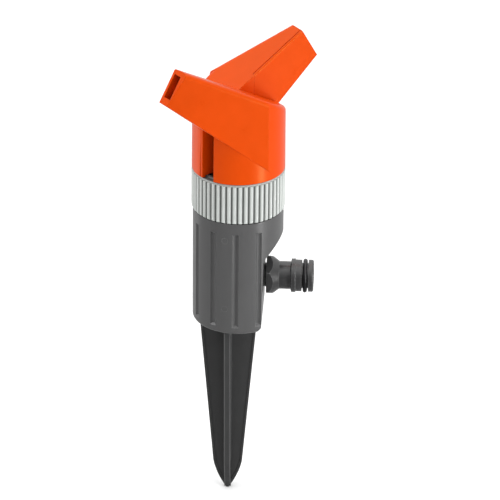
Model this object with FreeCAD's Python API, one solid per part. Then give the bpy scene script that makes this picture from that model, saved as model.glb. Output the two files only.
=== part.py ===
import FreeCAD, Part
import math
import os

# Two-arm rotating sprinkler on a ground spike. Millimetres and degrees.
# Frame: +Z up along the head's spin axis, +X along the hose nipple, origin on the
# spin axis at the underside of the body, which is where the soil's surface comes to.

# Clearances
press_gap = 0.05
slip_gap = 0.10
running_gap = 0.06
axial_play = 0.30
air_gap = 0.50
hairline = 0.02

# How far cutters run past a face, joined solids into each other, and a match of places
over = 1.0
lap = 0.1
near = 0.01

# Body
body_r = 23.0
body_wall = 2.4
body_h = 62.6
body_edge_round = 2.0
deck_t = 3.0
groove_count = 12
plain_grooves = 2
groove_cutter_r = 1.95
groove_depth = 1.0
groove_low_z = 4.0
groove_top_margin = 5.7
flat_x = 13.7
flat_draft = 0.7
flat_top_z = 40.0
flat_foot_chamfer = 2.4
cut_slope_deg = 46.0
cut_round = 3.0
funnel_h = 7.0
spike_x = -4.5

# Base plate and its screws
base_recess = 0.8
base_t = 3.5
screw_r = 1.45
screw_head_r = 2.8
screw_head_t = 1.6
screw_bite = 9.0
screw_boss_wall = 1.9
screw_boss_over = 4.0
screw_pilot_roof = 2.0
screw_sink = 0.2
screw_head_round = 0.45
cross_half_len = 1.6
cross_half_w = 0.35
cross_depth = 0.9
base_screw_angles = (75.0, 125.0, 235.0, 285.0)

# Ground spike
spike_len = 101.6
spike_half_top = 14.8
spike_half_low = 7.4
spike_point_len = 16.0
spike_point_mid = 4.6
spike_mid_share = 0.55
spike_tip_half = 0.4
fin_t = 2.6
fin_edge_t = 3.4
fin_edge_w = 0.9
spike_plug_r = 9.8
spike_plug_h = 9.5
spike_plug_chamfer = 0.8
spike_core_over = 0.4
plug_end_gap = 0.3
plug_roof = 1.2
socket_wall = 2.0

# Water way in the body
inlet_z = 23.4
socket_r = 5.1
socket_boss_wall = 3.0
riser_r = 6.5
riser_over_boss = 0.3
riser_step = 0.2
plenum_margin = 1.3
plenum_h = 3.4

# Hose nipple, the common push-on pattern
nipple_bore_r = 4.6
shank_bore_r = 3.4
shank_len = 9.0
washer_t = 0.6
washer_wall = 1.0
seat_proud = 0.5
hex_flat_half = 9.35
hex_len = 1.6
hex_cone_len = 5.0
hex_chamfer = 0.3
neck_groove_r = 7.1
neck_groove_end = 12.2
collar_r = 8.6
collar_len = 2.7
collar_chamfer = 0.5
plain_r = 8.1
plain_len = 3.0
plain_step = 0.2
seal_groove_len = 3.4
seal_groove_r = 6.5
hose_seal_r = 8.65
tip_r = 8.2
tip_len = 2.6
tip_round = 0.9
filter_t = 1.2
filter_depth = 1.0
filter_hole_r = 0.75
filter_rings = ((0, 1), (2.2, 6))

# Neck on top of the body, and the two port discs of the range valve
neck_step = 7.0
neck_wall = 2.4
neck_h = 6.2
neck_seal_section = 1.6
neck_seal_margin = 0.9
seal_side_gap = 0.2
snap_t = 1.2
snap_out = 1.4
snap_bite = 1.0
snap_below_rim = 0.8
snap_open_deg = 96.0
port_disc_t = 2.5
port_count = 3
port_r = 2.5
port_circle_r = 7.8
port_disc_gap = 0.1
port_disc_room = 0.8
valve_key_half = 3.4
valve_key_sink = 0.2
ring_turn_deg = 60.0
stop_half_deg = 5.0
stop_margin_deg = 0.6
stop_depth = 2.2

# Range ring
ring_proud = 0.7
rim_above_deck = 1.0
ring_skin = 1.25
ridge_count = 51
ridge_depth = 1.1
ridge_share = 0.76
ridge_foot = 0.6
ridge_foot_rise = 0.8
ridge_top_band = 1.0
sleeve_wall = 1.8
web_t = 1.6
web_hub_r = 6.6
web_gap = 0.4
web_windows = 3
web_window_half_deg = 48.0
web_window_start_deg = 60.0
web_window_margin = 0.6
sleeve_rise = 0.2
inner_wall_t = 1.4
inner_wall_gap = 0.95

# Ball drive inside the ring
swirl_t = 1.8
swirl_slots = 6
swirl_slot_w = 2.0
swirl_slot_tilt = 40.0
swirl_slot_half = 2.6
swirl_slot_inset = 4.2
swirl_start_deg = 30.0
race_t = 1.5
ball_r = 4.2
ball_lift = 0.2
ball_headroom = 0.6
striker_reach = 0.4
striker_hub_wall = 1.6
striker_h = 4.2
striker_lug_w = 3.0
striker_lugs = 2
striker_gap = 0.2

# Deck that closes the ring, with the head's bearing
cap_t = 1.9
cap_seal_t = 0.4
lip_inset = 0.25
lip_t = 1.4
lip_h = 2.0
tower_h = 7.4
tower_wall = 1.8
bush_wall = 1.7
bush_flange_t = 1.2
bush_flange_inset = 0.2
seal_boss_h = 2.0
seal_boss_inset = 0.3
seal_sink = 0.3
seal_bevel = 0.5
seal_bevel_h = 0.2
seal_lip_t = 0.6
seal_lip_h = 0.9

# Spindle
spindle_r = 5.0
spindle_bore_r = 3.6
spindle_end_gap = 0.7
spindle_collar_w = 2.0
spindle_collar_t = 1.5
spindle_grip = 9.0
clip_t = 0.8
clip_bite = 0.5
clip_w = 1.4
clip_from_end = 0.7
clip_open_half_deg = 32.0
thrust_t = 0.5
thrust_inset = 0.2

# Head
head_inset = 0.1
head_draft_deg = 0.3
head_wall = 1.8
head_gap = 0.4
crown_h = 41.6
top_slope = 0.565
top_turn_deg = 10.0
arm_root_h = 6.4
arm_bottom_slope = 0.848
arm_taper_deg = 20.9
arm_reach = 39.3
tip_lift_deg = 31.4
tip_wall = 1.6
cover_t = 1.5
cover_gap = 1.05
slot_w = 7.1
window_w = 5.2
window_side = 1.2
window_top = 2.3
window_bottom = 3.6
arm_angle = 39.5
edge_round = 2.6
cover_joint = 0.4
cover_round = 0.9
seam_w = 0.7
seam_h = 20.0
foot_gap_w = 0.8
foot_gap_depth = 1.4
head_room = 40.0
tie_gap = 0.6

# Water distributor in the head
hub_wall = 3.0
hub_chamber_h = 8.0
hub_roof = 2.0
hub_skin = 2.0
duct_r = 2.9
duct_bore_r = 2.0
duct_y = 4.5
duct_end_gap = 8.0
nozzle_len = 3.0
nozzle_hole_r = 1.3
ear_reach = 13.0
ear_t = 3.0
ear_half = 3.6
ear_drop = 1.0
shell_screw_bite = 11.0
shell_screw_head_t = 2.0

# Radii that follow from the sizes above
riser_outer_r = socket_r + socket_boss_wall + riser_over_boss
plenum_r = port_circle_r + port_r + plenum_margin
neck_r = body_r - neck_step
ring_r = body_r + ring_proud
skin_r = ring_r - ridge_depth - ring_skin
inner_wall_r = skin_r - inner_wall_t - inner_wall_gap
race_r = inner_wall_r - press_gap - race_t
ball_track_r = race_r - ball_r - ball_lift
bush_r = spindle_r + running_gap + bush_wall
tower_r = bush_r + tower_wall
lip_r = skin_r - slip_gap - lip_inset
head_r = ring_r - head_inset
cover_start = tower_r + cover_gap
hub_r = spindle_r + hub_wall

# Levels that follow from the sizes above
chamber_h = 2 * ball_r + ball_lift + ball_headroom
neck_top_z = body_h + neck_h
ring_low_z = body_h + air_gap
web_low_z = neck_top_z + web_gap
web_top_z = web_low_z + web_t
floor_z = web_top_z + swirl_t
ceiling_z = floor_z + chamber_h
deck_z = ceiling_z + cap_t
ring_top_z = deck_z + rim_above_deck
tower_top_z = deck_z + tower_h
bush_top_z = tower_top_z + bush_flange_t
head_low_z = ring_top_z + head_gap
crown_z = head_low_z + crown_h
arm_root_z = head_low_z + arm_root_h
collar_low_z = bush_top_z + axial_play
spindle_low_z = floor_z + spindle_end_gap
clip_low_z = spindle_low_z + clip_from_end
striker_low_z = clip_low_z + clip_t + striker_gap
hub_low_z = collar_low_z + spindle_collar_t
hub_floor_z = hub_low_z + spindle_grip
hub_top_z = hub_floor_z + hub_chamber_h + hub_roof
plenum_top_z = body_h - 2 * port_disc_t - port_disc_room
seat_x = flat_x + seat_proud
nipple_x = seat_x + washer_t
washer_r = socket_r + washer_wall
FAR = 400.0


def at(x, y, z):
    return FreeCAD.Vector(x, y, z)


UP = at(0, 0, 1)
ALONG = at(1, 0, 0)


def cyl(r, z0, z1, x=0.0, y=0.0):
    return Part.makeCylinder(r, z1 - z0, at(x, y, z0))


def cyl_x(r, x0, x1, z):
    return Part.makeCylinder(r, x1 - x0, at(x0, 0, z), ALONG)


def tube(r_out, r_in, z0, z1):
    return cyl(r_out, z0, z1).cut(cyl(r_in, z0 - over, z1 + over))


def block(x0, x1, y0, y1, z0, z1):
    return Part.makeBox(x1 - x0, y1 - y0, z1 - z0, at(x0, y0, z0))


def turn_z(shape, angle, times=1):
    copy = shape.copy()
    copy.rotate(at(0, 0, 0), UP, angle * times)
    return copy


def around(shape, count, start=0.0):
    return [turn_z(shape, start + 360.0 * k / count) for k in range(count)]


def join(shapes):
    first = shapes[0]
    return first.multiFuse(shapes[1:]).removeSplitter()


def lathe(points):
    """Closed outline of (radius, height) corners turned about the Z axis."""
    corners = [at(r, 0, z) for r, z in points]
    face = Part.Face(Part.makePolygon(corners + corners[:1]))
    return face.revolve(at(0, 0, 0), UP, 360)


def lathe_x(points, z):
    """Closed outline of (place along X, radius) corners turned about the inlet's axis."""
    corners = [at(x, 0, z + r) for x, r in points]
    face = Part.Face(Part.makePolygon(corners + corners[:1]))
    return face.revolve(at(0, 0, z), ALONG, 360)


def beyond(point, normal):
    """Everything on the far side of the plane through point, along normal."""
    side = Part.makeBox(2 * FAR, 2 * FAR, FAR, at(-FAR, -FAR, 0))
    side.Placement = FreeCAD.Placement(point, FreeCAD.Rotation(UP, normal))
    return side


def sector(r, a0, a1, z0, z1):
    """Solid slice of a cylinder between two angles, under half a turn."""
    start = at(r * math.cos(math.radians(a0)), r * math.sin(math.radians(a0)), z0)
    mid_angle = math.radians((a0 + a1) / 2)
    middle = at(r * math.cos(mid_angle), r * math.sin(mid_angle), z0)
    end = at(r * math.cos(math.radians(a1)), r * math.sin(math.radians(a1)), z0)
    centre = at(0, 0, z0)
    edges = [Part.makeLine(centre, start), Part.Arc(start, middle, end).toShape()]
    edges.append(Part.makeLine(end, centre))
    return Part.Face(Part.Wire(edges)).extrude(at(0, 0, z1 - z0))


def ring_torus(ring_mean_r, section_r, z):
    return Part.makeTorus(ring_mean_r, section_r, at(0, 0, z), UP)


def save(node, shape):
    shape.exportStep(os.path.join("parts", node + ".step"))


# ---------------------------------------------------------------- spike and body

def spike_outline(half_t, inset, top_z):
    """One pair of opposite fins: straight taper, then a pointed arch to the tip."""
    low_z = spike_point_len - spike_len
    mid_z = low_z - spike_point_len * spike_mid_share
    tip = at(max(spike_tip_half - inset, lap), -half_t, inset * 2 - spike_len)
    low = at(spike_half_low - inset, -half_t, low_z)
    middle = at(spike_point_mid - inset, -half_t, mid_z + inset)
    top = at(spike_half_top - inset, -half_t, top_z)
    right = [top, low]
    arch_right = Part.Arc(low, middle, tip).toShape()
    mirror = [at(-p.x, p.y, p.z) for p in (top, low, middle, tip)]
    arch_left = Part.Arc(mirror[3], mirror[2], mirror[1]).toShape()
    edges = [Part.makeLine(right[0], right[1]), arch_right]
    edges += [Part.makeLine(tip, mirror[3]), arch_left]
    edges += [Part.makeLine(mirror[1], mirror[0]), Part.makeLine(mirror[0], top)]
    return Part.Face(Part.Wire(edges)).extrude(at(0, 2 * half_t, 0))


def ground_spike():
    fin_top = -slip_gap
    edge = spike_outline(fin_edge_t / 2, 0.0, fin_top)
    hollow = spike_outline(fin_edge_t / 2, fin_edge_w, fin_top + over)
    web = spike_outline(fin_t / 2, lap, fin_top)
    fin = join([edge.cut(hollow), web])
    core = cyl(fin_edge_t / 2 + spike_core_over, spike_point_len - spike_len, fin_top)
    plug = cyl(spike_plug_r, fin_top - over, base_recess + spike_plug_h)
    plug = plug.makeChamfer(spike_plug_chamfer, [plug.Edges[0]])
    spike = join([fin, turn_z(fin, 90), core, plug])
    spike.translate(at(spike_x, 0, 0))
    return spike


def body_cut(shift):
    """Side of the body cut away for the nipple: a drafted flat, then a sloping face."""
    slope = math.radians(cut_slope_deg)
    low_x = flat_x - flat_draft - shift
    heel = at(low_x, -FAR, flat_foot_chamfer)
    low = at(low_x - flat_foot_chamfer - over, -FAR, -over)
    corner = at(flat_x - shift, -FAR, flat_top_z + shift * (1 - math.sin(slope)) / math.cos(slope))
    rise = FAR * math.sin(slope)
    run = FAR * math.cos(slope)
    high = at(corner.x + run, -FAR, corner.z + rise)
    out = at(corner.x + run, -FAR, -over)
    face = Part.Face(Part.makePolygon([low, heel, corner, high, out, low]))
    solid = face.extrude(at(0, 2 * FAR, 0))
    rounded = [e for e in solid.Edges if abs(e.BoundBox.ZMin - corner.z) < near
               and abs(e.BoundBox.ZMax - corner.z) < near]
    return solid.makeFillet(cut_round, rounded[:1])


def body_groove():
    """Upright flute with a round bottom and ends that run out at 45 degrees."""
    high_z = body_h - groove_top_margin
    place = body_r - groove_depth + groove_cutter_r
    flute = cyl(groove_cutter_r, groove_low_z, high_z, x=place)
    flute = flute.cut(beyond(at(body_r, 0, high_z), at(-1, 0, 1)))
    return flute.cut(beyond(at(body_r, 0, groove_low_z), at(-1, 0, -1)))


def base_screw_places():
    reach = body_r - body_wall - screw_head_r - 3 * slip_gap
    for angle in base_screw_angles:
        turn = math.radians(angle)
        yield reach * math.cos(turn), reach * math.sin(turn)


def body_housing():
    outer = cyl(body_r, 0, body_h)
    low_edges = [e for e in outer.Edges if e.BoundBox.ZMax < near]
    outer = outer.makeFillet(body_edge_round, low_edges)
    outer = outer.cut(body_cut(0.0))
    inner = cyl(body_r - body_wall, -over, body_h - deck_t).cut(body_cut(body_wall))
    shell = outer.cut(inner)
    riser_low_z = inlet_z - riser_outer_r - lap
    riser = cyl(riser_outer_r, riser_low_z, body_h)
    plenum_low_z = plenum_top_z - plenum_h
    funnel = lathe([(0, plenum_low_z - funnel_h), (riser_outer_r, plenum_low_z - funnel_h),
                    (neck_r, plenum_low_z), (neck_r, body_h), (0, body_h)])
    boss = cyl_x(socket_r + socket_boss_wall, 0, seat_x, inlet_z).cut(body_cut(0.0))
    seat = cyl_x(washer_r, flat_x / 2, seat_x, inlet_z)
    neck = cyl(neck_r, body_h - over, neck_top_z)
    boss_low_z = base_recess + base_t
    boss_top_z = boss_low_z + screw_bite + screw_boss_over
    bosses = [cyl(screw_r + screw_boss_wall, boss_low_z, boss_top_z, x, y)
              for x, y in base_screw_places()]
    solid = join([shell, riser, funnel, boss, seat, neck] + bosses)
    solid = solid.cut(cyl(riser_r, inlet_z - socket_r + riser_step, plenum_top_z))
    solid = solid.cut(cyl(plenum_r, plenum_low_z, plenum_top_z + over))
    solid = solid.cut(cyl(neck_r - neck_wall, plenum_top_z, neck_top_z + over))
    solid = solid.cut(cyl_x(socket_r, 0, seat_x + over, inlet_z))
    groove_z = body_h + neck_seal_margin
    groove_h = neck_seal_section + 2 * seal_side_gap
    groove_r = neck_r - neck_seal_section - press_gap
    solid = solid.cut(tube(neck_r + over, groove_r, groove_z, groove_z + groove_h))
    snap_top_z = snap_low_z() + snap_t + slip_gap
    solid = solid.cut(tube(neck_r + over, neck_r - snap_bite, snap_low_z(), snap_top_z))
    stop_notch = sector(neck_r + over, -stop_half_deg - stop_margin_deg,
                        ring_turn_deg + stop_half_deg + stop_margin_deg,
                        neck_top_z - stop_depth, neck_top_z + over)
    solid = solid.cut(stop_notch)
    pilots = [cyl(screw_r + slip_gap, 0, boss_top_z - screw_pilot_roof, x, y)
              for x, y in base_screw_places()]
    solid = solid.cut(Part.makeCompound(pilots))
    for flute in around(body_groove(), groove_count)[plain_grooves:1 - plain_grooves]:
        solid = solid.cut(flute)
    return solid


def snap_low_z():
    return neck_top_z - snap_below_rim - snap_t


def base_plate():
    low_z = base_recess
    high_z = base_recess + base_t
    plate = cyl(body_r - body_wall - slip_gap, low_z, high_z)
    plate = plate.cut(body_cut(body_wall + slip_gap))
    wall_r = spike_plug_r + socket_wall
    socket_top_z = base_recess + spike_plug_h + plug_end_gap + plug_roof
    socket = cyl(wall_r, low_z, socket_top_z, x=spike_x)
    socket = socket.cut(body_cut(body_wall + slip_gap))
    plate = join([plate, socket])
    plate = plate.cut(cyl(spike_plug_r + press_gap, low_z - over, socket_top_z - plug_roof, x=spike_x))
    for x, y in base_screw_places():
        plate = plate.cut(cyl(screw_r + slip_gap, low_z - over, high_z + over, x, y))
        head_top_z = low_z + screw_head_t + screw_sink
        plate = plate.cut(cyl(screw_head_r + slip_gap, low_z - over, head_top_z, x, y))
    return plate


def pan_screw(x, y, seat_z, length, head_t):
    """Self-tapping screw pointing up, its head's top face at seat_z."""
    head = cyl(screw_head_r, seat_z - head_t, seat_z, x, y)
    head = head.makeFillet(head_t * screw_head_round, [head.Edges[2]])
    low_z = seat_z - head_t
    bar = block(-cross_half_len, cross_half_len, -cross_half_w, cross_half_w,
                low_z - over, low_z + cross_depth)
    cross = bar.fuse(turn_z(bar, 90))
    cross.translate(at(x, y, 0))
    shank = cyl(screw_r, seat_z - lap, seat_z + length, x, y)
    shank = shank.makeChamfer(screw_r * 0.5, [shank.Edges[0]])
    return head.fuse(shank).cut(cross)


def base_screws():
    seat_z = base_recess + screw_head_t + screw_sink
    screws = [pan_screw(x, y, seat_z, screw_bite, screw_head_t) for x, y in base_screw_places()]
    return Part.makeCompound(screws)


# ---------------------------------------------------------------- inlet

def hose_nipple():
    base = nipple_x
    collar_x = base + neck_groove_end
    plain_x = collar_x + collar_len
    groove_x = plain_x + plain_len
    tip_x = groove_x + seal_groove_len
    end_x = tip_x + tip_len
    shank_r = socket_r - press_gap
    profile = [(base - shank_len, 0), (base - shank_len, shank_r), (base, shank_r)]
    profile += [(base, neck_groove_r), (collar_x, neck_groove_r), (collar_x + collar_chamfer, collar_r)]
    profile += [(plain_x - plain_step, collar_r), (plain_x, plain_r), (groove_x, plain_r)]
    profile += [(groove_x, seal_groove_r), (tip_x, seal_groove_r)]
    profile += [(tip_x, tip_r), (end_x, tip_r), (end_x, 0)]
    stem = lathe_x(profile, inlet_z)
    end_edges = [e for e in stem.Edges if e.BoundBox.XMin > end_x - near]
    stem = stem.makeFillet(tip_round, end_edges)
    corner_r = hex_flat_half / math.cos(math.radians(30))
    corners = [at(base, corner_r * math.sin(math.radians(60 * k)),
                  inlet_z + corner_r * math.cos(math.radians(60 * k))) for k in range(7)]
    hexagon = Part.Face(Part.makePolygon(corners)).extrude(at(hex_len + hex_cone_len, 0, 0))
    cone = lathe_x([(base, 0), (base, corner_r + hex_chamfer), (base + hex_len, corner_r),
                    (base + hex_len + hex_cone_len, neck_groove_r - lap),
                    (base + hex_len + hex_cone_len, 0)], inlet_z)
    solid = join([stem, hexagon.common(cone)])
    solid = solid.cut(cyl_x(shank_bore_r, base - shank_len - over, end_x, inlet_z))
    return solid.cut(cyl_x(nipple_bore_r, base + hex_len, end_x + over, inlet_z))


def nipple_seal_x():
    return nipple_x + neck_groove_end + collar_len + plain_len + seal_groove_len / 2


def nipple_o_ring():
    section_r = (hose_seal_r - seal_groove_r - press_gap) / 2
    mean_r = hose_seal_r - section_r
    return Part.makeTorus(mean_r, section_r, at(nipple_seal_x(), 0, inlet_z), ALONG)


def nipple_washer():
    outer = cyl_x(washer_r, seat_x, nipple_x, inlet_z)
    return outer.cut(cyl_x(socket_r + slip_gap, 0, nipple_x + over, inlet_z))


def inlet_filter():
    """Perforated disc pressed into the inner end of the nipple."""
    low_x = nipple_x - shank_len + filter_depth
    disc = cyl_x(shank_bore_r - press_gap, low_x, low_x + filter_t, inlet_z)
    for circle_r, count in filter_rings:
        for k in range(count):
            turn = 2 * math.pi * k / count
            hole = Part.makeCylinder(filter_hole_r, 3 * filter_t,
                                     at(low_x - filter_t, circle_r * math.cos(turn),
                                        inlet_z + circle_r * math.sin(turn)), ALONG)
            disc = disc.cut(hole)
    return disc


# ---------------------------------------------------------------- range valve

def port_disc(low_z, clear):
    disc = cyl(neck_r - neck_wall - clear, low_z, low_z + port_disc_t)
    port = cyl(port_r, low_z - over, low_z + port_disc_t + over, x=port_circle_r)
    return disc.cut(Part.makeCompound(around(port, port_count)))


def fixed_port_disc():
    return port_disc(plenum_top_z + press_gap, press_gap)


def rotary_port_disc():
    low_z = plenum_top_z + press_gap + port_disc_t + port_disc_gap
    disc = port_disc(low_z, axial_play)
    key = block(-valve_key_half, valve_key_half, -valve_key_half, valve_key_half,
                low_z + port_disc_t - lap, web_top_z - valve_key_sink)
    return join([disc, key])


def neck_o_ring():
    section_r = neck_seal_section / 2
    low_z = body_h + neck_seal_margin + seal_side_gap
    return ring_torus(neck_r - section_r, section_r, low_z + section_r)


def snap_ring():
    low_z = snap_low_z() + press_gap
    ring = tube(neck_r + snap_out, neck_r - snap_bite + press_gap, low_z, low_z + snap_t)
    middle = ring_turn_deg / 2
    half = snap_open_deg / 2
    gap = sector(FAR, middle - half, middle + half, low_z - over, low_z + snap_t + over)
    return ring.cut(gap)


# ---------------------------------------------------------------- range ring and drive

def ridged_prism(z0, z1):
    """Outline of half-round ridges side by side, carried straight up."""
    step = 2 * math.pi / ridge_count
    valley_r = ring_r - ridge_depth
    half = ridge_share / 2
    edges = []
    for k in range(ridge_count):
        points = []
        for share, radius in ((-half, valley_r), (0.0, ring_r), (half, valley_r), (1 - half, valley_r)):
            angle = (k + share) * step
            points.append(at(radius * math.cos(angle), radius * math.sin(angle), z0))
        edges.append(Part.Arc(points[0], points[1], points[2]).toShape())
        edges.append(Part.makeLine(points[2], points[3]))
    return Part.Face(Part.Wire(edges)).extrude(at(0, 0, z1 - z0))


def range_ring():
    """Ridged skin with a web across it, a sleeve on the neck and a wall around the race."""
    band_z = ring_top_z - ridge_top_band
    ridges = ridged_prism(ring_low_z, band_z)
    foot = lathe([(0, ring_low_z), (ring_r - ridge_foot, ring_low_z),
                  (ring_r + lap, ring_low_z + ridge_foot_rise), (ring_r + lap, band_z), (0, band_z)])
    band = cyl(ring_r - ridge_depth / 2, band_z - lap, ring_top_z)
    outer = join([ridges.common(foot), band])
    outer = outer.cut(cyl(skin_r, ring_low_z - over, ring_top_z + over))
    sleeve_r = neck_r + snap_out + air_gap
    ledge_top_z = snap_low_z() - axial_play
    sleeve = tube(sleeve_r + sleeve_wall, sleeve_r, ring_low_z + sleeve_rise, web_low_z + lap)
    ledge = tube(sleeve_r + lap, neck_r + running_gap, ring_low_z + sleeve_rise, ledge_top_z)
    web = cyl(skin_r + lap, web_low_z, web_top_z)
    wall = tube(inner_wall_r + inner_wall_t, inner_wall_r, web_top_z - lap, ceiling_z - cap_seal_t)
    stop_low_z = neck_top_z - stop_depth + web_gap
    stop = sector(neck_r - axial_play, -stop_half_deg, stop_half_deg, stop_low_z, web_low_z + lap)
    stop = stop.cut(cyl(neck_r - neck_wall + axial_play, 0, FAR))
    ring = join([outer, web, sleeve, ledge, wall, stop])
    window = sector(neck_r - neck_wall - web_window_margin, -web_window_half_deg, web_window_half_deg,
                    web_low_z - over, web_top_z + over)
    window = window.cut(cyl(web_hub_r, 0, FAR))
    ring = ring.cut(Part.makeCompound(around(window, web_windows, web_window_start_deg)))
    half = valve_key_half + slip_gap
    return ring.cut(block(-half, half, -half, half, web_low_z - over, web_top_z + over))


def swirl_plate():
    """Disc whose tilted slots send the water round the ball's track."""
    plate = cyl(race_r + race_t, web_top_z, floor_z)
    slot = block(-swirl_slot_w / 2, swirl_slot_w / 2, -swirl_slot_half, swirl_slot_half,
                 -3 * swirl_t, 3 * swirl_t)
    slot.rotate(at(0, 0, 0), at(1, 0, 0), swirl_slot_tilt)
    slot.translate(at(neck_r - neck_wall - swirl_slot_inset, 0, web_top_z + swirl_t / 2))
    return plate.cut(Part.makeCompound(around(slot, swirl_slots, swirl_start_deg)))


def ball_race():
    return tube(race_r + race_t, race_r, floor_z, ceiling_z - slip_gap)


def ring_deck():
    """Cover of the drive, with the raised lip, the bearing tower and the seal's boss."""
    deck = cyl(skin_r - slip_gap, ceiling_z, deck_z)
    lip = tube(lip_r, lip_r - lip_t, deck_z - lap, deck_z + lip_h)
    tower = cyl(tower_r, deck_z - lap, tower_top_z)
    boss = cyl(tower_r - seal_boss_inset, ceiling_z - seal_boss_h, ceiling_z + lap)
    solid = join([deck, lip, tower, boss])
    return solid.cut(cyl(bush_r + press_gap, ceiling_z - seal_boss_h - over, tower_top_z + over))


def deck_seal():
    return tube(inner_wall_r + inner_wall_t, inner_wall_r, ceiling_z - cap_seal_t, ceiling_z)


def spindle_bush():
    r = spindle_r + running_gap
    sleeve = cyl(bush_r, ceiling_z, tower_top_z + lap)
    flange = cyl(tower_r - bush_flange_inset, tower_top_z, bush_top_z)
    return join([sleeve, flange]).cut(cyl(r, ceiling_z - over, bush_top_z + over))


def spindle_seal():
    """Lip seal under the bush: a rubber ring whose lip runs on the spindle."""
    r = spindle_r + running_gap
    low_z = ceiling_z - seal_boss_h + seal_sink
    return lathe([(r, low_z + seal_bevel_h), (r + seal_bevel, low_z), (bush_r, low_z), (bush_r, ceiling_z),
                  (r + seal_lip_t, ceiling_z), (r + seal_lip_t, low_z + seal_lip_h)])


def drive_ball():
    return Part.makeSphere(ball_r, at(ball_track_r, 0, floor_z + ball_r + ball_lift))


# ---------------------------------------------------------------- spindle group

def spindle_tube():
    top_z = hub_floor_z
    tube_body = cyl(spindle_r, spindle_low_z, top_z)
    collar = cyl(spindle_r + spindle_collar_w, collar_low_z, collar_low_z + spindle_collar_t)
    solid = join([tube_body, collar])
    solid = solid.cut(cyl(spindle_bore_r, spindle_low_z - over, top_z + over))
    groove_top_z = clip_low_z + clip_t + press_gap
    return solid.cut(tube(spindle_r + over, spindle_r - clip_bite, clip_low_z, groove_top_z))


def spindle_circlip():
    inner_r = spindle_r - clip_bite + hairline
    ring = tube(spindle_r + clip_w, inner_r, clip_low_z + hairline, clip_low_z + clip_t)
    return ring.cut(sector(FAR, -clip_open_half_deg, clip_open_half_deg, 0, FAR))


def striker():
    """Hub on the spindle with lugs that the circling ball knocks on."""
    high_z = striker_low_z + striker_h
    reach = ball_track_r - ball_r - striker_reach
    hub = cyl(spindle_r + striker_hub_wall, striker_low_z, high_z)
    lug = block(0, reach, -striker_lug_w / 2, striker_lug_w / 2, striker_low_z, high_z)
    lug = lug.common(cyl(reach, striker_low_z, high_z))
    solid = join([hub] + around(lug, striker_lugs, arm_angle + 90))
    return solid.cut(cyl(spindle_r + press_gap, 0, FAR))


def thrust_washer():
    low_z = striker_low_z + striker_h + hairline
    return tube(spindle_r + striker_hub_wall - thrust_inset, spindle_r + press_gap, low_z, low_z + thrust_t)


# ---------------------------------------------------------------- head

def head_radius(z):
    return head_r - (z - head_low_z) * math.tan(math.radians(head_draft_deg))


def top_plane_point(shift):
    return at(0, 0, crown_z - shift * math.hypot(1, top_slope))


def top_normal():
    turn = math.radians(top_turn_deg)
    return at(-top_slope * math.cos(turn), -top_slope * math.sin(turn), 1)


def tip_point(shift):
    lift = math.radians(tip_lift_deg)
    top_z = crown_z + top_slope * math.cos(math.radians(top_turn_deg)) * arm_reach
    return at(arm_reach - shift * math.cos(lift), 0, top_z - shift * math.sin(lift))


def tip_normal():
    lift = math.radians(tip_lift_deg)
    return at(math.cos(lift), 0, math.sin(lift))


def side_normal():
    taper = math.radians(arm_taper_deg)
    draft = math.radians(head_draft_deg)
    return at(math.sin(taper) * math.cos(draft), math.cos(taper) * math.cos(draft), math.sin(draft))


def side_point(shift):
    taper = math.radians(arm_taper_deg)
    reach = head_r - shift
    return at(reach * math.sin(taper), reach * math.cos(taper), head_low_z)


def bottom_normal():
    return at(arm_bottom_slope, 0, -1)


def bottom_point(shift):
    return at(0, 0, arm_root_z + shift * math.hypot(1, arm_bottom_slope))


def half_head(shift, low_z):
    """Half of the head on the arm's side, with every face moved in by shift.

    A drafted half cylinder and an arm whose outer side lies tangent to it, under one
    sloping top face; the arm's inner side is the plane through the spin axis."""
    top_z = crown_z + head_room
    foot_r = head_radius(low_z) - shift
    core = Part.makeCone(foot_r, head_radius(top_z) - shift, top_z - low_z, at(0, 0, low_z))
    core = core.common(block(-FAR, FAR, 0, FAR, 0, FAR))
    arm = block(0, 2 * arm_reach, 0, 2 * head_r, low_z, top_z + head_room)
    arm = arm.cut(beyond(side_point(shift), side_normal()))
    arm = arm.cut(beyond(bottom_point(shift), bottom_normal()))
    arm = arm.cut(beyond(tip_point(shift), tip_normal()))
    both = core.fuse(arm)
    return both.cut(beyond(top_plane_point(shift), top_normal()))


def arm_cover_local():
    """Flat plate that closes the arm's inner side and runs down to the rim."""
    plate = block(cover_start, 2 * arm_reach, 0, cover_t, head_low_z, crown_z + 2 * head_room)
    plate = plate.common(half_head(0.0, head_low_z))
    plate = plate.makeChamfer(cover_joint, [e for e in plate.Edges if on_top_edge_at(e, cover_t)])
    plate = plate.makeFillet(cover_round, [e for e in plate.Edges if on_top_edge_at(e, 0.0)])
    ring_room = cyl(lip_r + 2 * axial_play, 0, deck_z + lip_h + axial_play)
    return plate.cut(ring_room)


def tip_window():
    """Upright opening through the arm's tip wall."""
    lift = math.radians(tip_lift_deg)
    top = tip_point(0.0)
    face_len = tip_face_len()
    length = face_len - window_top - window_bottom
    opening = block(-head_wall - tip_wall - over, 3 * over, window_side, window_side + window_w, -length, 0)
    opening.rotate(at(0, 0, 0), at(0, 1, 0), -math.degrees(lift))
    start = at(top.x + window_top * math.sin(lift), 0, top.z - window_top * math.cos(lift))
    opening.translate(start)
    return opening


def tip_face_len():
    """Length of the tip face, from the top face down to the arm's underside."""
    lift = math.radians(tip_lift_deg)
    top = tip_point(0.0)
    drop_at_top = top.z - (arm_root_z + arm_bottom_slope * top.x)
    return drop_at_top / (math.cos(lift) + arm_bottom_slope * math.sin(lift))


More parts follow.
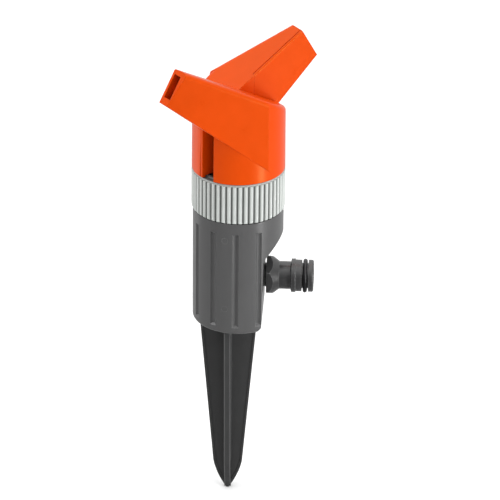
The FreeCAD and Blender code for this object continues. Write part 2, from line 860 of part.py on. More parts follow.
def side_slot():
    """Upright slot in the wall beside the cover's edge, from the rim to the arm."""
    high_z = arm_root_z + arm_bottom_slope * (head_r - head_wall)
    slot = block(head_r - head_wall - 3 * over, head_r + over, cover_t, cover_t + slot_w,
                 head_low_z - over, high_z + 3 * over)
    return slot.cut(beyond(bottom_point(0.0), at(-arm_bottom_slope, 0, 1)))


def shell_screw_z():
    return hub_top_z - ear_t - ear_drop


def shell_boss():
    low_z = shell_screw_z() + ear_t
    column = cyl(screw_r + screw_boss_wall, low_z, crown_z - over, y=ear_reach)
    return column.common(half_head(head_wall * 0.5, head_low_z))


def rim_seam():
    """Narrow wedge beside the cover's edge, widest at the rim."""
    foot = at(cover_start, over, head_low_z - over)
    wide = at(cover_start, -seam_w, head_low_z - over)
    point = at(cover_start, 0, head_low_z + seam_h)
    face = Part.Face(Part.makePolygon([foot, wide, point, foot]))
    return face.extrude(at(head_r, 0, 0))


def foot_gap():
    """Wedge-shaped groove in the crown where the other arm's inner side rises from it."""
    out_x = head_r + over
    fall = top_slope * math.cos(math.radians(top_turn_deg))
    start = at(cover_start, -foot_gap_w, crown_z - fall * cover_start)
    end = at(out_x, -foot_gap_w, crown_z - fall * out_x - foot_gap_depth)
    high_end = at(out_x, -foot_gap_w, crown_z)
    high_start = at(cover_start, -foot_gap_w, crown_z)
    face = Part.Face(Part.makePolygon([start, end, high_end, high_start, start]))
    return face.extrude(at(0, foot_gap_w, 0))


def head_shell_local():
    outer = half_head(0.0, head_low_z)
    outer = outer.makeFillet(edge_round, [e for e in outer.Edges if on_top_outer_edge(e)])
    cavity = half_head(head_wall, head_low_z - over)
    tie = block(-cover_start, cover_start, -over, cover_t, hub_top_z + tie_gap, crown_z + 2 * head_room)
    cavity = cavity.cut(tie)
    pocket = block(cover_start - press_gap, 2 * arm_reach, -over, cover_t + press_gap,
                   0, crown_z + 2 * head_room)
    half = outer.cut(cavity).cut(pocket)
    half = half.cut(tip_window()).cut(side_slot())
    half = half.fuse(shell_boss())
    whole = join([half, turn_z(half, 180)])
    pilot = cyl(screw_r + slip_gap, 0, shell_screw_z() + ear_t + shell_screw_bite + over, y=ear_reach)
    for cutter in (pilot, rim_seam(), foot_gap()):
        whole = whole.cut(Part.makeCompound(around(cutter, 2)))
    return whole


def on_top_edge_at(edge, y):
    """True for the edge of the sloping top face that runs along the arm at y."""
    for vertex in edge.Vertexes:
        if abs((vertex.Point - top_plane_point(0.0)).dot(top_normal())) > near:
            return False
        if abs(vertex.Point.y - y) > near:
            return False
    return True


def on_top_outer_edge(edge):
    """True for the edges where the sloping top face meets the outer walls."""
    normal = top_normal()
    point = top_plane_point(0.0)
    for vertex in edge.Vertexes:
        if abs((vertex.Point - point).dot(normal)) > near:
            return False
    middle = edge.valueAt((edge.FirstParameter + edge.LastParameter) / 2)
    if abs((middle - point).dot(normal)) > near:
        return False
    tip_gap = abs((middle - tip_point(0.0)).dot(tip_normal()))
    return middle.y > 5 * near and tip_gap > 5 * near


def duct_line():
    """Start and end of an arm duct's axis: it leads from the hub to the window's middle."""
    lift = math.radians(tip_lift_deg)
    top = tip_point(0.0)
    mid = window_top + (tip_face_len() - window_top - window_bottom) / 2
    aim = at(top.x + mid * math.sin(lift), duct_y, top.z - mid * math.cos(lift))
    start = at(0, duct_y, hub_floor_z + hub_chamber_h / 2)
    along = (aim - start).normalize()
    return start, aim - along * duct_end_gap, along


def water_distributor_local():
    hub = cyl(hub_r, hub_low_z, hub_top_z)
    start, end, along = duct_line()
    length = (end - start).Length
    duct = Part.makeCylinder(duct_r, length, start, along)
    bore = Part.makeCylinder(duct_bore_r, length + 5 * over, start, along)
    ear_low_z = shell_screw_z()
    ear = block(-ear_half, ear_half, 0, ear_reach + ear_half, ear_low_z, ear_low_z + ear_t)
    solid = join([hub] + around(duct, 2) + around(ear, 2))
    solid = solid.cut(cyl(spindle_r + press_gap, hub_low_z - over, hub_floor_z + press_gap))
    solid = solid.cut(cyl(hub_r - hub_skin, hub_floor_z, hub_floor_z + hub_chamber_h))
    hole = cyl(screw_r + slip_gap, ear_low_z - over, ear_low_z + ear_t + over, y=ear_reach)
    return solid.cut(Part.makeCompound(around(bore, 2) + around(hole, 2)))


def nozzle_local():
    """Cap on the end of an arm duct, with the jet's hole."""
    end, along = duct_line()[1:]
    cap = Part.makeCylinder(duct_r, nozzle_len, end + along * hairline, along)
    spigot = Part.makeCylinder(duct_bore_r - press_gap, nozzle_len + over, end - along * nozzle_len, along)
    hole = Part.makeCylinder(nozzle_hole_r, 4 * nozzle_len, end - along * 2 * nozzle_len, along)
    return cap.fuse(spigot).cut(hole)


def shell_screws_local():
    screw = pan_screw(0, ear_reach, shell_screw_z(), ear_t + shell_screw_bite, shell_screw_head_t)
    return Part.makeCompound(around(screw, 2))


def arm_a(shape):
    """Place a piece drawn beside the arm on +X on the arm that points at arm_angle."""
    return turn_z(shape, arm_angle)


def arm_b(shape):
    return turn_z(shape, arm_angle + 180)


def build_all():
    os.makedirs("parts", exist_ok=True)
    save("ground_spike", ground_spike())
    save("body_housing", body_housing())
    save("base_plate", base_plate())
    save("base_screws", base_screws())
    save("hose_nipple", hose_nipple())
    save("nipple_o_ring", nipple_o_ring())
    save("nipple_washer", nipple_washer())
    save("inlet_filter", inlet_filter())
    save("fixed_port_disc", fixed_port_disc())
    save("neck_o_ring", neck_o_ring())
    save("snap_ring", snap_ring())
    save("range_ring", range_ring())
    save("rotary_port_disc", rotary_port_disc())
    save("swirl_plate", swirl_plate())
    save("ball_race", ball_race())
    save("ring_deck", ring_deck())
    save("deck_seal", deck_seal())
    save("spindle_bush", spindle_bush())
    save("spindle_seal", spindle_seal())
    save("drive_ball", drive_ball())
    save("spindle_tube", spindle_tube())
    save("spindle_circlip", spindle_circlip())
    save("striker", striker())
    save("thrust_washer", thrust_washer())
    save("head_shell", arm_a(head_shell_local()))
    save("arm_cover_a", arm_a(arm_cover_local()))
    save("arm_cover_b", arm_b(arm_cover_local()))
    save("water_distributor", arm_a(water_distributor_local()))
    save("nozzle_a", arm_a(nozzle_local()))
    save("nozzle_b", arm_b(nozzle_local()))
    save("shell_screws", arm_a(shell_screws_local()))


build_all()
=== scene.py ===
import math

import bmesh
import bpy
import numpy as np
from bpy.props import FloatProperty, FloatVectorProperty, PointerProperty
from mathutils import Matrix, Vector


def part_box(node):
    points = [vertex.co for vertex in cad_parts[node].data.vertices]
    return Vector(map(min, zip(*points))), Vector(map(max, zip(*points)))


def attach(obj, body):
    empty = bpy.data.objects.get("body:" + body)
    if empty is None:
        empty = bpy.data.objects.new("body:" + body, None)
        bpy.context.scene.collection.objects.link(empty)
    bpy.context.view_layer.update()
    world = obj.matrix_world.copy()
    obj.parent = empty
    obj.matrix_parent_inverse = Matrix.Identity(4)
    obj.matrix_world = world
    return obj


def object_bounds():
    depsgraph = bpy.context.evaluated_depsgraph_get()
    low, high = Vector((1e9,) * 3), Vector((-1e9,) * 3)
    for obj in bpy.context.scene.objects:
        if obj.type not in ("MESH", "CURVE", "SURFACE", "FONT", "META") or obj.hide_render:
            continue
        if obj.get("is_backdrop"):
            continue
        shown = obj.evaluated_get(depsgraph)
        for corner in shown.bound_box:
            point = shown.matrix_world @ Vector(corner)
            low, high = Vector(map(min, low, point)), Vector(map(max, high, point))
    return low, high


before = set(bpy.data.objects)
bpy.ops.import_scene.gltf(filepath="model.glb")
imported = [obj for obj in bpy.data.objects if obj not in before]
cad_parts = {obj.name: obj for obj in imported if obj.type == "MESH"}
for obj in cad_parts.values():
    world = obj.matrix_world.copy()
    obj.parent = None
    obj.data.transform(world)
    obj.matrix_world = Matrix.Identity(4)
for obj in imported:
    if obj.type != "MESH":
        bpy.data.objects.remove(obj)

bl_info = {
    "name": "Spike Sprinkler",
    "version": (1, 0, 0),
    "blender": (4, 5, 0),
    "location": "3D View > Sidebar > Sprinkler",
    "description": "Builds the finish, the fine shapes and the studio of a rotating spike sprinkler",
    "category": "Object",
}

MM = 0.001
WHITE = (1.0, 1.0, 1.0, 1.0)

# Cells per metre of the noises in the plastics, the rubber and the steel
FLOW_SCALE = 38.0
PATCH_SCALE = 140.0
GRAIN_SCALE = 5200.0
CELL_SCALE = 3400.0
BLOOM_SCALE = 420.0
RUBBER_SCALE = 6000.0
LINE_SCALE = 900.0
STEEL_PATCH_SCALE = 160.0
CLOUD_SCALE = 3.0

# Heights of the surface grain
GRAIN_HEIGHT = 0.012 * MM
RUBBER_HEIGHT = 0.008 * MM
LINE_HEIGHT = 0.006 * MM

# Shares of one colour in another and of one noise in another
MOTTLE = 0.06
FLOW_SHARE = 0.65
# Share of the painted edge highlight in the colour
EDGE_HIGHLIGHT_SHARE = 0.55
GRAIN_SHARE = 0.6
# Painted shade: how dark the ring's grooves are painted at their floors
PAINTED_GROOVE_SHADE = 0.30
BLOOM_SHARE = 0.5
BLOOM_SHADE = 2.2

# How far the patches, the grain and the edges move the roughness
PATCH_GLOSS = 0.10
GRAIN_GLOSS = 0.06
EDGE_GLOSS = 0.05

# Roughness of the smoothest rubber and steel, and how far their noises raise it
RUBBER_GLOSS = 0.32
BLOOM_GLOSS = 0.18
STEEL_GLOSS = 0.22
LINE_GLOSS = 0.16

# Shades of the steel's dark and light patches
STEEL_DARK = 0.86
STEEL_LIGHT = 1.08

# Values of a noise, or of a corner's turn, between which its effect comes in
TONE_BAND = (0.3, 0.7)
BLOOM_BAND = (0.45, 0.75)
STEEL_BAND = (0.35, 0.7)
EDGE_BAND = (0.01, 0.12)

EDGE_REACH = 1.6
BEVEL_SAMPLES = 6


# ------------------------------------------------------------------ node expressions

class Sock:
    """A node's output socket that takes part in Python arithmetic by adding Math nodes."""

    def __init__(self, graph, socket):
        self.graph = graph
        self.socket = socket

    def math(self, operation, *others):
        inputs = dict(enumerate((self,) + others))
        return self.graph.node("ShaderNodeMath", {"operation": operation}, inputs)

    def __add__(self, other):
        return self.math("ADD", other)

    def __radd__(self, other):
        return self.math("ADD", other)

    def __sub__(self, other):
        return self.math("SUBTRACT", other)

    def __rsub__(self, other):
        return self.graph.node("ShaderNodeMath", {"operation": "SUBTRACT"}, {0: other, 1: self})

    def __mul__(self, other):
        return self.math("MULTIPLY", other)

    def __rmul__(self, other):
        return self.math("MULTIPLY", other)

    def __truediv__(self, other):
        return self.math("DIVIDE", other)

    def __rtruediv__(self, other):
        return self.graph.node("ShaderNodeMath", {"operation": "DIVIDE"}, {0: other, 1: self})

    def clamp(self):
        return self.graph.node("ShaderNodeClamp", {}, {"Value": self})

    def band(self, low, high):
        """0 below low, 1 above high, straight between."""
        return ((self - low) / (high - low)).clamp()


class Graph:
    """The node tree of a material or a world, with a single way of adding a node."""

    def __init__(self, owner):
        owner.use_nodes = True
        self.owner = owner
        self.tree = owner.node_tree
        self.tree.nodes.clear()

    def node(self, kind, settings, inputs, out=0):
        """Adds a node, makes its settings, then gives its sockets their values or links."""
        made = self.tree.nodes.new(kind)
        for key, value in settings.items():
            setattr(made, key, value)
        for key, value in inputs.items():
            if isinstance(value, Sock):
                self.tree.links.new(value.socket, made.inputs[key])
            else:
                made.inputs[key].default_value = value
        return Sock(self, made.outputs[out]) if made.outputs else None

    def coords(self, stretch=(1, 1, 1)):
        """Object coordinates, stretched along each axis."""
        place = self.node("ShaderNodeTexCoord", {}, {}, "Object")
        return self.node("ShaderNodeMapping", {}, {"Vector": place, "Scale": stretch})

    def noise(self, scale, detail=2.0, stretch=(1, 1, 1)):
        inputs = {"Vector": self.coords(stretch), "Scale": scale, "Detail": detail}
        return self.node("ShaderNodeTexNoise", {}, inputs)

    def cells(self, scale):
        return self.node("ShaderNodeTexVoronoi", {}, {"Vector": self.coords(), "Scale": scale})

    def from_axis(self):
        """Distance from the upright axis through the origin."""
        flat = self.coords((1, 1, 0))
        return self.node("ShaderNodeVectorMath", {"operation": "LENGTH"}, {0: flat}, "Value")

    def mix(self, factor, first, second):
        """Mixes two colours."""
        return self.node("ShaderNodeMix", {"data_type": "RGBA"}, {0: factor, 6: first, 7: second}, 2)

    def soft_edges(self, radius):
        """Normal rounded over each edge by radius, in metres."""
        return self.node("ShaderNodeBevel", {"samples": BEVEL_SAMPLES}, {"Radius": radius})

    def edge_mask(self, radius):
        """1 where the surface turns within radius, 0 on flat faces."""
        round_normal = self.soft_edges(radius)
        flat_normal = self.node("ShaderNodeNewGeometry", {}, {}, "Normal")
        same = self.node("ShaderNodeVectorMath", {"operation": "DOT_PRODUCT"},
                         {0: round_normal, 1: flat_normal}, "Value")
        return (1.0 - same).band(*EDGE_BAND)

    def bump(self, height, distance, normal=None):
        """Normal of a relief whose height of 1 stands distance metres high."""
        inputs = {"Height": height, "Distance": distance, "Strength": 1.0}
        if normal is not None:
            inputs["Normal"] = normal
        return self.node("ShaderNodeBump", {}, inputs)

    def finish(self, inputs):
        """Adds the surface shader and the output."""
        shader = self.node("ShaderNodeBsdfPrincipled", {}, inputs)
        self.node("ShaderNodeOutputMaterial", {}, {"Surface": shader})
        return self.owner


def shade(colour, factor):
    """The colour made lighter or darker by a factor."""
    return tuple(min(1.0, c * factor) for c in colour[:3]) + (1.0,)


def moulded_plastic(name, colour, rough, edge_highlight=1.25, soft=0.25, shine=0.25, tint=WHITE, grooves=None):
    """Injection-moulded plastic: a fine eroded grain, faint flow mottling, a painted highlight
    that makes the softened edges lighter than the faces, and a gloss that varies with the
    mottling. soft is the edges' rounding in millimetres. grooves is a pair of distances
    from the spin axis between which a painted shade darkens the colour inwards."""
    g = Graph(bpy.data.materials.new(name))
    flow = g.noise(FLOW_SCALE, 4.0, (1, 1, 0.45))
    patch = g.noise(PATCH_SCALE, 3.0)
    grain = g.noise(GRAIN_SCALE)
    cell = g.cells(CELL_SCALE)
    edge = g.edge_mask(soft * EDGE_REACH * MM)
    tone = (flow * FLOW_SHARE + patch * (1 - FLOW_SHARE)).band(*TONE_BAND)
    base = g.mix(tone, shade(colour, 1 - MOTTLE), shade(colour, 1 + MOTTLE))
    # Painted highlight: the edges are mixed towards a lighter copy of the colour
    base = g.mix(edge * EDGE_HIGHLIGHT_SHARE, base, shade(colour, edge_highlight))
    # Painted shade: the ring's grooves are darkened towards their floors
    if grooves is not None:
        base = g.mix(g.from_axis().band(*grooves), shade(colour, PAINTED_GROOVE_SHADE), base)
    gloss = rough + (patch - 0.5) * PATCH_GLOSS + (grain - 0.5) * GRAIN_GLOSS - edge * EDGE_GLOSS
    relief = grain * GRAIN_SHARE + cell * (1 - GRAIN_SHARE)
    normal = g.bump(relief, GRAIN_HEIGHT, g.soft_edges(soft * MM))
    return g.finish({"Base Color": base, "Roughness": gloss.clamp(), "Normal": normal,
                     "Specular IOR Level": shine, "Specular Tint": tint})


def sealing_rubber(name, colour):
    """Black seal rubber: slightly shiny, with a dusty bloom in patches."""
    g = Graph(bpy.data.materials.new(name))
    bloom = g.noise(BLOOM_SCALE, 4.0)
    grain = g.noise(RUBBER_SCALE)
    base = g.mix(bloom.band(*BLOOM_BAND) * BLOOM_SHARE, colour, shade(colour, BLOOM_SHADE))
    gloss = RUBBER_GLOSS + bloom * BLOOM_GLOSS
    normal = g.bump(grain + bloom * BLOOM_SHARE, RUBBER_HEIGHT)
    return g.finish({"Base Color": base, "Roughness": gloss.clamp(), "Normal": normal})


def stainless_steel(name, colour):
    """Turned stainless steel with fine lines across and darker patches."""
    g = Graph(bpy.data.materials.new(name))
    lines = g.noise(LINE_SCALE, 3.0, (1, 1, 9))
    patch = g.noise(STEEL_PATCH_SCALE, 3.0)
    base = g.mix(patch.band(*STEEL_BAND), shade(colour, STEEL_DARK), shade(colour, STEEL_LIGHT))
    gloss = STEEL_GLOSS + lines * LINE_GLOSS
    normal = g.bump(lines, LINE_HEIGHT)
    return g.finish({"Base Color": base, "Roughness": gloss.clamp(), "Metallic": 1.0, "Normal": normal})


# ------------------------------------------------------------------ settings

def colour_prop(name, default, text):
    return FloatVectorProperty(name=name, description=text, subtype="COLOR", size=4,
                               min=0.0, max=1.0, default=default)


class FinishSettings(bpy.types.PropertyGroup):
    orange: colour_prop("Head", (0.66, 0.052, 0.0, 1.0), "Colour of the rotating head's plastic")
    light_grey: colour_prop("Ring", (0.525, 0.55, 0.53, 1.0), "Colour of the range ring's plastic")
    dark_grey: colour_prop("Body", (0.086, 0.086, 0.0865, 1.0), "Colour of the body's plastic")
    glow: colour_prop("Head glow", (1.0, 0.78, 0.22, 1.0), "Tint of the light that the head reflects")
    nipple: colour_prop("Nipple", (0.038, 0.038, 0.0385, 1.0), "Colour of the hose nipple's plastic")
    black: colour_prop("Spike", (0.044, 0.0443, 0.0446, 1.0), "Colour of the spike's plastic")
    rubber: colour_prop("Seals", (0.006, 0.006, 0.007, 1.0), "Colour of the rubber seals")
    white: colour_prop("Bearings", (0.66, 0.66, 0.61, 1.0), "Colour of the acetal bearings and drive")
    steel: colour_prop("Steel", (0.56, 0.56, 0.55, 1.0), "Colour of the ball, clips and screws")
    # Painted shade: the ring's grooves are darkened down to this depth below the crests
    groove_depth: FloatProperty(name="Shaded groove depth", unit="LENGTH", default=0.0011,
                                description="Depth of the ring's grooves that painted shade darkens")


class StageSettings(bpy.types.PropertyGroup):
    azimuth: FloatProperty(name="Camera azimuth", description="Turn of the camera about the sprinkler",
                           subtype="ANGLE", default=math.radians(2.7))
    elevation: FloatProperty(name="Camera elevation", description="Height of the camera over the horizon",
                             subtype="ANGLE", default=math.radians(27.1))
    roll: FloatProperty(name="Camera roll", description="Lean of the picture", subtype="ANGLE",
                        default=math.radians(0.5))
    distance: FloatProperty(name="Camera distance", description="From the camera to the sprinkler",
                            unit="LENGTH", default=2.093)
    lens: FloatProperty(name="Lens", description="Focal length of the lens", unit="CAMERA", default=299.6)
    aim_side: FloatProperty(name="Aim to the side", description="Side shift of the aim from the spin axis",
                            unit="LENGTH", default=0.00614)
    aim_down: FloatProperty(name="Aim below the rim", unit="LENGTH", default=0.0429,
                            description="Downward shift of the aim from the head's rim")
    floor_colour: colour_prop("Floor", (0.90, 0.90, 0.90, 1.0), "Colour of the studio floor")
    key: FloatProperty(name="Key light", description="Power of the large high left light", unit="POWER",
                       default=2.6)
    left: FloatProperty(name="Left light", description="Power of the left rim light", unit="POWER",
                        default=0.05)
    right: FloatProperty(name="Right light", description="Power of the tall right light", unit="POWER",
                         default=0.85)
    rear: FloatProperty(name="Rear wall", description="Brightness of the wall behind the sprinkler",
                        default=0.80)
    front: FloatProperty(name="Front wall", description="Brightness of the wall behind the camera",
                         default=0.05)
    ceiling: FloatProperty(name="Ceiling", description="Extra brightness straight above", default=1.95)


def finishes():
    return bpy.context.scene.sprinkler_finish


def stage():
    return bpy.context.scene.sprinkler_stage


# ------------------------------------------------------------------ painting the CAD parts

# Material, colour setting, roughness, other settings, CAD parts
# edge_highlight sets how light the painted highlight on each part's edges is
PLASTICS = (
    ("orange_plastic", "orange", 0.30, {"edge_highlight": 1.1, "soft": 0.4, "shine": 0.36},
     ("head_shell", "arm_cover_a", "arm_cover_b", "water_distributor", "nozzle_a", "nozzle_b")),
    ("light_grey_plastic", "light_grey", 0.45, {"soft": 0.6}, ("range_ring", "ring_deck")),
    ("dark_grey_plastic", "dark_grey", 0.32, {"edge_highlight": 2.4, "shine": 0.5},
     ("body_housing", "base_plate")),
    ("nipple_plastic", "nipple", 0.24, {"edge_highlight": 4.5, "soft": 0.32, "shine": 0.6}, ("hose_nipple",)),
    ("black_plastic", "black", 0.42, {"edge_highlight": 3.0, "soft": 0.4, "shine": 0.5}, ("ground_spike",)),
    ("acetal", "white", 0.38, {},
     ("fixed_port_disc", "rotary_port_disc", "swirl_plate", "ball_race", "spindle_bush", "striker",
      "thrust_washer", "inlet_filter", "spindle_tube")),
)
RUBBER_NODES = ("nipple_o_ring", "nipple_washer", "neck_o_ring", "deck_seal", "spindle_seal")
STEEL_NODES = ("drive_ball", "spindle_circlip", "snap_ring", "base_screws", "shell_screws")
# Share of the groove depth, next to the crests, that gets no painted shade
UNSHADED_SHARE = 0.1


def paint(names, material):
    for name in names:
        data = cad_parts[name].data
        data.materials.clear()
        data.materials.append(material)


class SPRINKLER_OT_paint(bpy.types.Operator):
    """Gives every CAD part its moulded, rubber or steel finish"""

    bl_idname = "sprinkler.paint"
    bl_label = "Paint the parts"

    def execute(self, context):
        f = finishes()
        ring_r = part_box("range_ring")[1].y
        special = {
            "orange": {"tint": tuple(f.glow)},
            # Painted shade in the ring's grooves
            "light_grey": {"grooves": (ring_r - f.groove_depth, ring_r - f.groove_depth * UNSHADED_SHARE)},
        }
        for name, setting, rough, options, nodes in PLASTICS:
            options = {**options, **special.get(setting, {})}
            paint(nodes, moulded_plastic(name, tuple(getattr(f, setting)), rough, **options))
        paint(RUBBER_NODES, sealing_rubber("seal_rubber", tuple(f.rubber)))
        paint(STEEL_NODES, stainless_steel("stainless_steel", tuple(f.steel)))
        return {"FINISHED"}


# ------------------------------------------------------------------ fine shapes

SIDES = 8
MARK_POINTS = 48
SEAM_POINTS = 40
FIN_POINTS = 20
POINT_POINTS = 16
OFF_AXES = (0.37, 0.61, 0.70)

# How much of a line's or bead's thickness stands inside the face that it lies on
MARK_SUNK = 0.2
BEAD_SUNK = 0.35
BEAD_END = 3


def sweep(name, points, radius, closed=False):
    """Round bar along a line of points.

    Ring k has the points p_k + radius (cos a n_k + sin a b_k), where n_k and b_k stand
    square to the line's direction at p_k; the ends of an open bar are closed flat."""
    points = np.asarray(points, float)
    count = len(points)
    if closed:
        along = np.roll(points, -1, 0) - np.roll(points, 1, 0)
    else:
        along = np.gradient(points, axis=0)
    along /= np.linalg.norm(along, axis=1)[:, None]
    across = np.cross(along, OFF_AXES)
    across /= np.linalg.norm(across, axis=1)[:, None]
    third = np.cross(along, across)
    turn = np.linspace(0, 2 * np.pi, SIDES, endpoint=False)
    ring = across[:, None] * np.cos(turn)[None, :, None] + third[:, None] * np.sin(turn)[None, :, None]
    verts = (points[:, None] + radius * ring).reshape(-1, 3)
    rows = np.arange(count if closed else count - 1)
    k, j = np.meshgrid(rows, np.arange(SIDES), indexing="ij")
    k2, j2 = (k + 1) % count, (j + 1) % SIDES
    faces = np.stack((k * SIDES + j, k * SIDES + j2, k2 * SIDES + j2, k2 * SIDES + j), -1)
    loops = faces.reshape(-1, 4).tolist()
    if not closed:
        loops.append(list(range(SIDES))[::-1])
        loops.append(list(range((count - 1) * SIDES, count * SIDES)))
    mesh = bpy.data.meshes.new(name)
    mesh.from_pydata(verts.tolist(), [], loops)
    mesh.shade_smooth()
    return mesh


def add_piece(name, meshes, body, like):
    """Joins meshes into one piece that rides on a body, in the material of a CAD part."""
    joined = bmesh.new()
    for mesh in meshes:
        joined.from_mesh(mesh)
    bmesh.ops.recalc_face_normals(joined, faces=joined.faces)
    whole = bpy.data.meshes.new(name)
    joined.to_mesh(whole)
    joined.free()
    whole.shade_smooth()
    whole.materials.append(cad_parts[like].data.materials[0])
    piece = bpy.data.objects.new(name, whole)
    bpy.context.scene.collection.objects.link(piece)
    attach(piece, body)


class ShapeSettings(bpy.types.PropertyGroup):
    line: FloatProperty(name="Mould line", description="Thickness of the lines that the mould leaves",
                        unit="LENGTH", default=0.00030)
    mark_radius: FloatProperty(name="Ejector mark", description="Radius of the round ejector marks",
                               unit="LENGTH", default=0.0016)
    mark_low: FloatProperty(name="Low mark", description="Height of the low mark, as a share of the body",
                            default=0.23)
    mark_high: FloatProperty(name="High mark", description="Height of the high mark, as a share of the body",
                             default=0.84)
    mark_turn: FloatProperty(name="Mark turn", description="Where the marks stand round the body",
                             subtype="ANGLE", default=math.radians(-104.0))
    arm_turn: FloatProperty(name="Arm turn", description="Direction of the back arm", subtype="ANGLE",
                            default=math.radians(39.5))
    seam_root: FloatProperty(name="Seam root", unit="LENGTH", default=0.0064,
                             description="Height of the arm's seam over the rim at the axis")
    seam_slope: FloatProperty(name="Seam slope", description="Rise of the seam towards the arm",
                              default=0.848)
    seam_start: FloatProperty(name="Seam start", description="Where the seam leaves the arm", subtype="ANGLE",
                              default=math.radians(66.0))
    seam_end: FloatProperty(name="Seam end", description="Where the seam fades out", subtype="ANGLE",
                            default=math.radians(101.0))
    bead: FloatProperty(name="Fin bead", description="Thickness of the beads on the fins' edges",
                        unit="LENGTH", default=0.0007)
    bead_apart: FloatProperty(name="Bead distance", description="Distance between a fin's two beads",
                              unit="LENGTH", default=0.0026)
    point_len: FloatProperty(name="Spike point", description="Length of the spike's pointed end",
                             unit="LENGTH", default=0.016)
    point_half: FloatProperty(name="Point width", description="Half width of the fins where the point starts",
                              unit="LENGTH", default=0.0074)
    point_bulge: FloatProperty(name="Point bulge", description="How far the pointed end swells outwards",
                               unit="LENGTH", default=0.0010)


def shapes():
    return bpy.context.scene.sprinkler_shapes


def on_body(angle, height, radius):
    """Points at an angle, a height and a distance from the spin axis."""
    return np.stack((radius * np.cos(angle), radius * np.sin(angle), height), -1)


class SPRINKLER_OT_marks(bpy.types.Operator):
    """Adds the two round ejector marks on the body's front: a thin bar along a circle
    of the mark's radius, bent round the body"""

    bl_idname = "sprinkler.marks"
    bl_label = "Ejector marks"

    def execute(self, context):
        s = shapes()
        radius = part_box("body_housing")[1].y
        body_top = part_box("range_ring")[0].z
        turn = np.linspace(0, 2 * np.pi, MARK_POINTS, endpoint=False)
        angle = s.mark_turn + s.mark_radius * np.cos(turn) / radius
        rings = []
        for share in (s.mark_low, s.mark_high):
            height = share * body_top + s.mark_radius * np.sin(turn)
            line = on_body(angle, height, radius - s.line * MARK_SUNK)
            rings.append(sweep("mark", line, s.line / 2, closed=True))
        add_piece("ejector_marks", rings, "base", "body_housing")
        return {"FINISHED"}


class SPRINKLER_OT_seams(bpy.types.Operator):
    """Adds the fine seam that runs on from each arm's underside round the head: its height
    over the rim is the root plus the slope times the distance out along the arm"""

    bl_idname = "sprinkler.seams"
    bl_label = "Arm seams"

    def execute(self, context):
        s = shapes()
        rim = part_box("head_shell")[0].z
        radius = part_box("range_ring")[1].y - s.line / 2
        local = np.linspace(s.seam_start, s.seam_end, SEAM_POINTS)
        height = rim + s.seam_root + s.seam_slope * radius * np.cos(local)
        lines = []
        for turn in (s.arm_turn, s.arm_turn + math.pi):
            lines.append(sweep("seam", on_body(local + turn, height, radius), s.line / 2))
        add_piece("arm_seams", lines, "head", "head_shell")
        return {"FINISHED"}


class SPRINKLER_OT_beads(bpy.types.Operator):
    """Adds the pair of beads down each edge of the spike's four fins: they follow the fin's
    straight taper, then its pointed end, which narrows evenly with a swelling 4 b t (1 - t)"""

    bl_idname = "sprinkler.beads"
    bl_label = "Fin beads"

    def execute(self, context):
        s = shapes()
        low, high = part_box("ground_spike")
        centre_x = (low.x + high.x) / 2
        half_top = (high.x - low.x) / 2
        taper_len = -low.z - s.point_len
        along_fin = np.linspace(0, taper_len, FIN_POINTS)
        along_point = np.linspace(taper_len, -low.z - s.bead * BEAD_END, POINT_POINTS)
        depth = np.concatenate((along_fin, along_point[1:]))
        share = np.clip((depth - taper_len) / s.point_len, 0, 1)
        straight = half_top + (s.point_half - half_top) * np.clip(depth / taper_len, 0, 1)
        swelling = 4 * s.point_bulge * share * (1 - share)
        half = straight * (1 - share) + swelling + s.bead / 2 * share
        reach = half - s.bead * BEAD_SUNK
        lines = []
        for quarter in range(4):
            c, d = math.cos(quarter * math.pi / 2), math.sin(quarter * math.pi / 2)
            for side in (-0.5, 0.5):
                off = side * s.bead_apart
                line = np.stack((centre_x + reach * c - off * d, reach * d + off * c, -depth), -1)
                lines.append(sweep("bead", line, s.bead / 2))
        add_piece("fin_beads", lines, "base", "body_housing")
        return {"FINISHED"}


# ------------------------------------------------------------------ stage

SENSOR = 36.0
FAR = 50.0
FLOOR_HALF = 6.0
FLOOR_CLOUD = 0.985
FLOOR_ROUGH = 0.9
FLOOR_SHINE = 0.1

# Light, place, width and height, power setting
LIGHTS = (
    ("key_light", (-0.80, -0.25, 0.45), (0.30, 0.90), "key"),
    ("left_light", (-0.27, 0.14, 0.05), (0.08, 0.30), "left"),
    ("right_light", (0.30, -0.18, 0.06), (0.05, 0.32), "right"),
)


def camera_axes(azimuth, elevation):
    """Right, up and backward directions of a camera at these angles."""
    back = Vector((math.sin(azimuth) * math.cos(elevation),
                   -math.cos(azimuth) * math.cos(elevation), math.sin(elevation)))
    right = Vector((math.cos(azimuth), math.sin(azimuth), 0.0))
    return right, back.cross(right), back


def add_camera():
    s = stage()
    right, up, back = camera_axes(s.azimuth, s.elevation)
    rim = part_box("head_shell")[0].z
    aim = Vector((0, 0, rim)) + right * s.aim_side - up * s.aim_down
    turn = Matrix((right, up, back)).transposed() @ Matrix.Rotation(s.roll, 3, "Z")
    data = bpy.data.cameras.new("camera")
    data.lens = s.lens
    data.sensor_width = SENSOR
    data.clip_end = FAR
    camera = bpy.data.objects.new("camera", data)
    camera.matrix_world = Matrix.Translation(aim + back * s.distance) @ turn.to_4x4()
    bpy.context.scene.collection.objects.link(camera)
    bpy.context.scene.camera = camera


def add_area(name, place, target, size, power):
    """Rectangular light turned to its target, lit but not seen."""
    data = bpy.data.lights.new(name, "AREA")
    data.shape = "RECTANGLE"
    data.size, data.size_y = size
    data.energy = power
    light = bpy.data.objects.new(name, data)
    light.visible_camera = False
    way = Vector(place) - Vector(target)
    light.matrix_world = Matrix.Translation(place) @ way.to_track_quat("Z", "Y").to_matrix().to_4x4()
    bpy.context.scene.collection.objects.link(light)


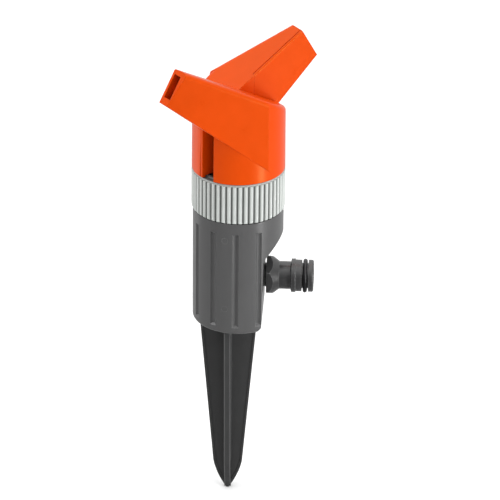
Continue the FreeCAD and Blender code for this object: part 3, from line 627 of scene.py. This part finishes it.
def add_floor(floor_z):
    """Flat pale floor, one wide square; shiny faces do not mirror it."""
    signs = ((-1, -1), (1, -1), (1, 1), (-1, 1))
    corners = [(x * FLOOR_HALF, y * FLOOR_HALF, floor_z) for x, y in signs]
    mesh = bpy.data.meshes.new("floor")
    mesh.from_pydata(corners, [], [(0, 1, 2, 3)])
    g = Graph(bpy.data.materials.new("floor_paint"))
    cloud = g.noise(CLOUD_SCALE, 3.0)
    base = g.mix(cloud, shade(stage().floor_colour, FLOOR_CLOUD), tuple(stage().floor_colour))
    mesh.materials.append(g.finish({"Base Color": base, "Roughness": FLOOR_ROUGH,
                                    "Specular IOR Level": FLOOR_SHINE}))
    floor = bpy.data.objects.new("floor", mesh)
    bpy.context.scene.collection.objects.link(floor)
    floor.visible_glossy = False
    floor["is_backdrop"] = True


def add_surround():
    """White room: dim behind the camera, bright behind the sprinkler and straight above.

    radiance = front + (rear - front) ((1 + y) / 2)^2 + ceiling z^2, with y how far the
    direction points to the rear and z how far it points up."""
    s = stage()
    world = bpy.data.worlds.new("surround")
    g = Graph(world)
    place = g.node("ShaderNodeTexCoord", {}, {}, "Generated")
    behind = g.node("ShaderNodeSeparateXYZ", {}, {0: place}, "Y") * 0.5 + 0.5
    above = g.node("ShaderNodeSeparateXYZ", {}, {0: place}, "Z").clamp()
    radiance = s.front + behind * behind * (s.rear - s.front) + above * above * s.ceiling
    background = g.node("ShaderNodeBackground", {}, {"Color": WHITE, "Strength": radiance})
    g.node("ShaderNodeOutputWorld", {}, {"Surface": background})
    bpy.context.scene.world = world


class SPRINKLER_OT_stage(bpy.types.Operator):
    """Adds the floor, the soft studio lights, the white room and the camera"""

    bl_idname = "sprinkler.stage"
    bl_label = "Set the stage"

    def execute(self, context):
        s = stage()
        low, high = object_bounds()
        middle = Vector((0, 0, (low[2] + high[2]) / 2))
        add_floor(low[2])
        for name, place, size, power in LIGHTS:
            add_area(name, place, middle, size, getattr(s, power))
        add_surround()
        bpy.context.scene.view_settings.view_transform = "Standard"
        add_camera()
        return {"FINISHED"}


class SPRINKLER_PT_panel(bpy.types.Panel):
    """Lists the sprinkler's settings and steps"""

    bl_idname = "SPRINKLER_PT_panel"
    bl_label = "Spike Sprinkler"
    bl_space_type = "VIEW_3D"
    bl_region_type = "UI"
    bl_category = "Sprinkler"

    def draw(self, context):
        for group in (finishes(), shapes(), stage()):
            box = self.layout.box()
            for name in group.__annotations__:
                box.prop(group, name)
        for operator in OPERATORS:
            self.layout.operator(operator.bl_idname)


SETTINGS = {"sprinkler_finish": FinishSettings, "sprinkler_shapes": ShapeSettings,
            "sprinkler_stage": StageSettings}
OPERATORS = (SPRINKLER_OT_paint, SPRINKLER_OT_marks, SPRINKLER_OT_seams, SPRINKLER_OT_beads,
             SPRINKLER_OT_stage)
CLASSES = tuple(SETTINGS.values()) + OPERATORS + (SPRINKLER_PT_panel,)


def register():
    for cls in CLASSES:
        bpy.utils.register_class(cls)
    for name, cls in SETTINGS.items():
        setattr(bpy.types.Scene, name, PointerProperty(type=cls))


def unregister():
    for name in SETTINGS:
        delattr(bpy.types.Scene, name)
    for cls in reversed(CLASSES):
        bpy.utils.unregister_class(cls)


def main():
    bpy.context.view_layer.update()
    register()
    bpy.ops.sprinkler.paint()
    bpy.ops.sprinkler.marks()
    bpy.ops.sprinkler.seams()
    bpy.ops.sprinkler.beads()
    bpy.ops.sprinkler.stage()


if __name__ == "__main__":
    main()
